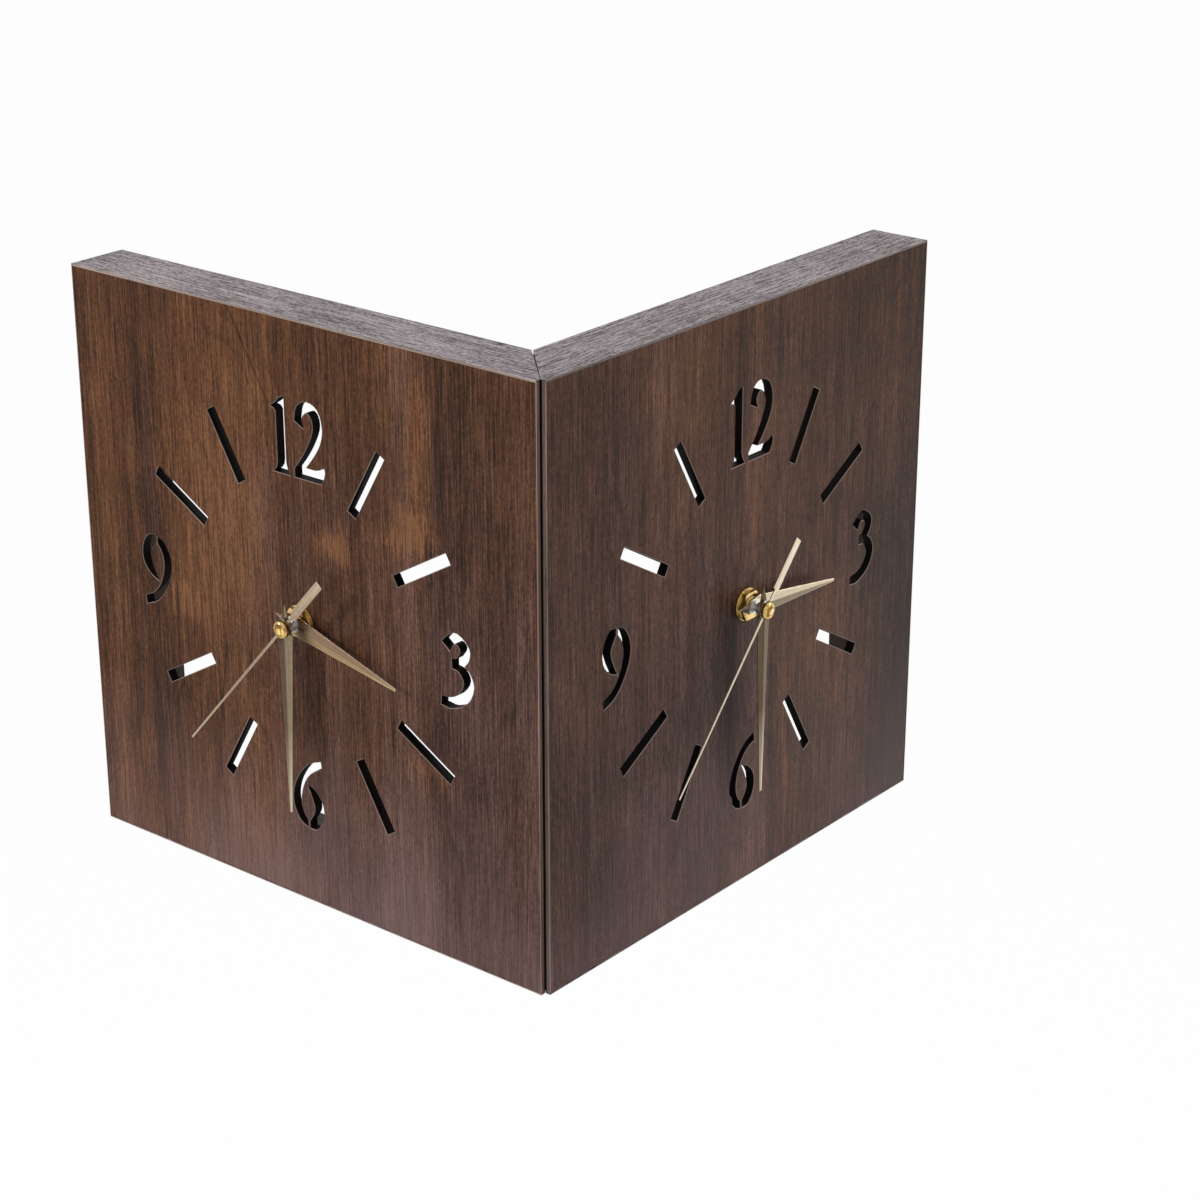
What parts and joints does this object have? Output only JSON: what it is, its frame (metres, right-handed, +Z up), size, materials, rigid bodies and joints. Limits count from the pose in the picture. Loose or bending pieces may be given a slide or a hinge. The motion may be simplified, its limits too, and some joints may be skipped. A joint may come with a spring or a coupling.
{
  "type": "corner wall clock",
  "caption": "Wall clock that wraps an outside wall corner: square wooden dials with cut-through numerals and slots, each with its own quartz movement and hands.",
  "frame": {"origin": "the wall's vertical corner edge at the clock's mid height, where the back faces of the two halves meet", "axes": "+Z up; the wall fills +X +Y; the right half hangs on the wall face y = 0 and looks to -Y, the left half hangs on the wall face x = 0 and looks to -X"},
  "size_m": [0.2735, 0.2735, 0.26],
  "materials": {
    "walnut_laminate": "satin walnut-grain laminate, grain upright",
    "edge_laminate": "satin walnut-grain edge strip, grain along the edge",
    "batten_wood": "dark stained softwood",
    "black_plastic": "fine moulded texture",
    "brass": "polished",
    "champagne_metal": "brushed champagne",
    "steel": "plain",
    "gear_plastic": "moulded",
    "circuit_green": "solder resist",
    "copper_wire": "enamelled wire",
    "battery_jacket": "plain printed sleeve"
  },
  "bodies": {
    "clock_body": {"left_front_board": "walnut_laminate", "left_edge_band": "edge_laminate", "left_top_rail": "batten_wood", "left_bottom_rail": "batten_wood", "left_outer_rail": "batten_wood", "left_apex_rail": "batten_wood", "left_movement_case": "black_plastic", "left_movement_cover": "black_plastic", "left_threaded_bush": "brass", "left_brass_washer": "brass", "left_hex_nut": "brass", "left_circuit_board": "circuit_green", "left_drive_coil": "copper_wire", "left_battery": "battery_jacket", "right_front_board": "walnut_laminate", "right_edge_band": "edge_laminate", "right_top_rail": "batten_wood", "right_bottom_rail": "batten_wood", "right_outer_rail": "batten_wood", "right_apex_rail": "batten_wood", "right_movement_case": "black_plastic", "right_movement_cover": "black_plastic", "right_threaded_bush": "brass", "right_brass_washer": "brass", "right_hex_nut": "brass", "right_circuit_board": "circuit_green", "right_drive_coil": "copper_wire", "right_battery": "battery_jacket", "upper_corner_bracket": "steel", "lower_corner_bracket": "steel", "upper_left_screw": "steel", "upper_right_screw": "steel", "lower_left_screw": "steel", "lower_right_screw": "steel"},
    "left_seconds": {"left_seconds_wheel": "steel", "left_second_hand": "champagne_metal", "left_second_hand_cap": "brass"},
    "left_rotor": {"left_rotor": "steel"},
    "left_intermediate": {"left_intermediate_wheel": "gear_plastic"},
    "left_third": {"left_third_wheel": "gear_plastic"},
    "left_centre": {"left_centre_wheel": "gear_plastic"},
    "left_minutes": {"left_minute_pipe": "steel", "left_minute_hand": "champagne_metal"},
    "left_motion": {"left_motion_wheel": "gear_plastic"},
    "left_hours": {"left_hour_wheel": "steel", "left_hour_hand": "champagne_metal"},
    "left_setting": {"left_setting_knob": "black_plastic"},
    "right_seconds": {"right_seconds_wheel": "steel", "right_second_hand": "champagne_metal", "right_second_hand_cap": "brass"},
    "right_rotor": {"right_rotor": "steel"},
    "right_intermediate": {"right_intermediate_wheel": "gear_plastic"},
    "right_third": {"right_third_wheel": "gear_plastic"},
    "right_centre": {"right_centre_wheel": "gear_plastic"},
    "right_minutes": {"right_minute_pipe": "steel", "right_minute_hand": "champagne_metal"},
    "right_motion": {"right_motion_wheel": "gear_plastic"},
    "right_hours": {"right_hour_wheel": "steel", "right_hour_hand": "champagne_metal"},
    "right_setting": {"right_setting_knob": "black_plastic"}
  },
  "joints": [
    {"name": "left_second_turn", "type": "hinge", "parent": "clock_body", "child": "left_seconds", "pos_m": [-0.0285, 0.1028, 0], "axis": [1, 0, 0], "continuous": true},
    {"name": "left_rotor_turn", "type": "hinge", "parent": "clock_body", "child": "left_rotor", "pos_m": [-0.0285, 0.11353, 0.00983], "axis": [1, 0, 0], "continuous": true},
    {"name": "left_intermediate_turn", "type": "hinge", "parent": "clock_body", "child": "left_intermediate", "pos_m": [-0.0285, 0.11038, 0.00438], "axis": [1, 0, 0], "continuous": true},
    {"name": "left_third_turn", "type": "hinge", "parent": "clock_body", "child": "left_third", "pos_m": [-0.0285, 0.0985, 0.00745], "axis": [1, 0, 0], "continuous": true},
    {"name": "left_centre_turn", "type": "hinge", "parent": "clock_body", "child": "left_centre", "pos_m": [-0.0285, 0.1028, 0], "axis": [1, 0, 0], "continuous": true},
    {"name": "left_minute_turn", "type": "hinge", "parent": "clock_body", "child": "left_minutes", "pos_m": [-0.0285, 0.1028, 0], "axis": [1, 0, 0], "continuous": true},
    {"name": "left_motion_turn", "type": "hinge", "parent": "clock_body", "child": "left_motion", "pos_m": [-0.0285, 0.09453, -0.00146], "axis": [1, 0, 0], "continuous": true},
    {"name": "left_hour_turn", "type": "hinge", "parent": "clock_body", "child": "left_hours", "pos_m": [-0.0285, 0.1028, 0], "axis": [1, 0, 0], "continuous": true},
    {"name": "left_setting_turn", "type": "hinge", "parent": "clock_body", "child": "left_setting", "pos_m": [-0.0285, 0.08859, 0.00448], "axis": [1, 0, 0], "continuous": true},
    {"name": "right_second_turn", "type": "hinge", "parent": "clock_body", "child": "right_seconds", "pos_m": [0.1028, -0.0285, 0], "axis": [0, 1, 0], "continuous": true},
    {"name": "right_rotor_turn", "type": "hinge", "parent": "clock_body", "child": "right_rotor", "pos_m": [0.09207, -0.0285, 0.00983], "axis": [0, 1, 0], "continuous": true},
    {"name": "right_intermediate_turn", "type": "hinge", "parent": "clock_body", "child": "right_intermediate", "pos_m": [0.09522, -0.0285, 0.00438], "axis": [0, 1, 0], "continuous": true},
    {"name": "right_third_turn", "type": "hinge", "parent": "clock_body", "child": "right_third", "pos_m": [0.1071, -0.0285, 0.00745], "axis": [0, 1, 0], "continuous": true},
    {"name": "right_centre_turn", "type": "hinge", "parent": "clock_body", "child": "right_centre", "pos_m": [0.1028, -0.0285, 0], "axis": [0, 1, 0], "continuous": true},
    {"name": "right_minute_turn", "type": "hinge", "parent": "clock_body", "child": "right_minutes", "pos_m": [0.1028, -0.0285, 0], "axis": [0, 1, 0], "continuous": true},
    {"name": "right_motion_turn", "type": "hinge", "parent": "clock_body", "child": "right_motion", "pos_m": [0.11107, -0.0285, -0.00146], "axis": [0, 1, 0], "continuous": true},
    {"name": "right_hour_turn", "type": "hinge", "parent": "clock_body", "child": "right_hours", "pos_m": [0.1028, -0.0285, 0], "axis": [0, 1, 0], "continuous": true},
    {"name": "right_setting_turn", "type": "hinge", "parent": "clock_body", "child": "right_setting", "pos_m": [0.11701, -0.0285, 0.00448], "axis": [0, 1, 0], "continuous": true}
  ],
  "couplings": [
    {"joint": "left_rotor_turn", "follows": "left_second_turn", "ratio": 30},
    {"joint": "left_intermediate_turn", "follows": "left_second_turn", "ratio": -6},
    {"joint": "left_third_turn", "follows": "left_second_turn", "ratio": -0.13333},
    {"joint": "left_centre_turn", "follows": "left_second_turn", "ratio": 0.016667},
    {"joint": "left_motion_turn", "follows": "left_minute_turn", "ratio": -0.33333},
    {"joint": "left_hour_turn", "follows": "left_minute_turn", "ratio": 0.083333},
    {"joint": "left_setting_turn", "follows": "left_minute_turn", "ratio": 1},
    {"joint": "right_rotor_turn", "follows": "right_second_turn", "ratio": 30},
    {"joint": "right_intermediate_turn", "follows": "right_second_turn", "ratio": -6},
    {"joint": "right_third_turn", "follows": "right_second_turn", "ratio": -0.13333},
    {"joint": "right_centre_turn", "follows": "right_second_turn", "ratio": 0.016667},
    {"joint": "right_motion_turn", "follows": "right_minute_turn", "ratio": -0.33333},
    {"joint": "right_hour_turn", "follows": "right_minute_turn", "ratio": 0.083333},
    {"joint": "right_setting_turn", "follows": "right_minute_turn", "ratio": 1}
  ]
}
